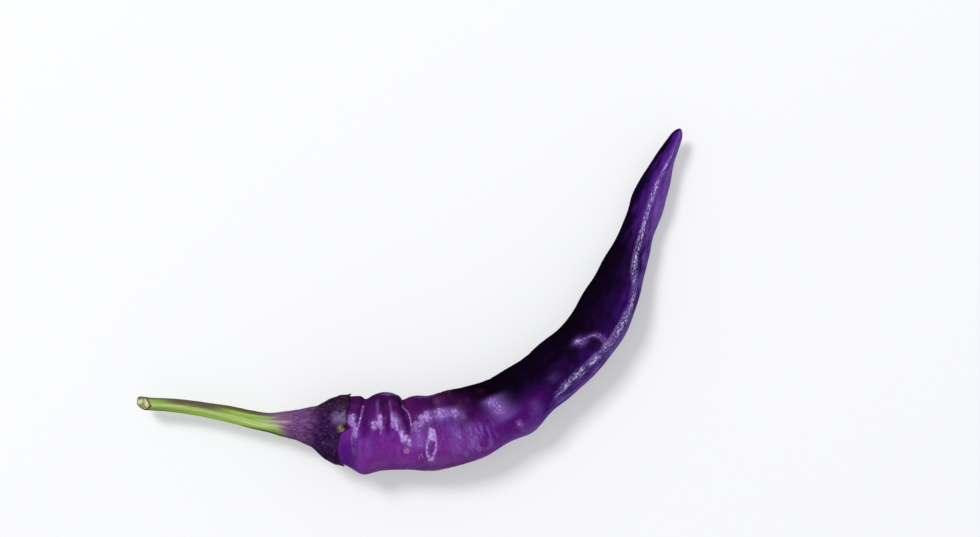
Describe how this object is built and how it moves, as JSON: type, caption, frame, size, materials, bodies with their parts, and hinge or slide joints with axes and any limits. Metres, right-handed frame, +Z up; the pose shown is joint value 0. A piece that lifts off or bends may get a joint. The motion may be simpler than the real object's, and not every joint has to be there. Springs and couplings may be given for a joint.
{
  "type": "buena mulata pepper",
  "caption": "Long curved purple chilli pepper as picked, lying down, with a toothed calyx on its shoulder and a ridged stalk cut on a slant.",
  "frame": {"origin": "on the surface that the pepper lies on, below the middle of its box", "axes": "+X along the longest side of the box, from the stalk's cut end towards the tip; +Z up from the surface; the pod bends towards +Y"},
  "size_m": [0.1486, 0.0938, 0.0192],
  "materials": {
    "pod_skin": "waxy gloss, dark violet to plum",
    "calyx_skin": "satin, dark purple with grey-green mottling",
    "stalk_skin": "satin, lime green with brown-purple streaks"
  },
  "bodies": {
    "root": {"pod": "pod_skin", "calyx": "calyx_skin", "stalk": "stalk_skin"}
  },
  "joints": []
}
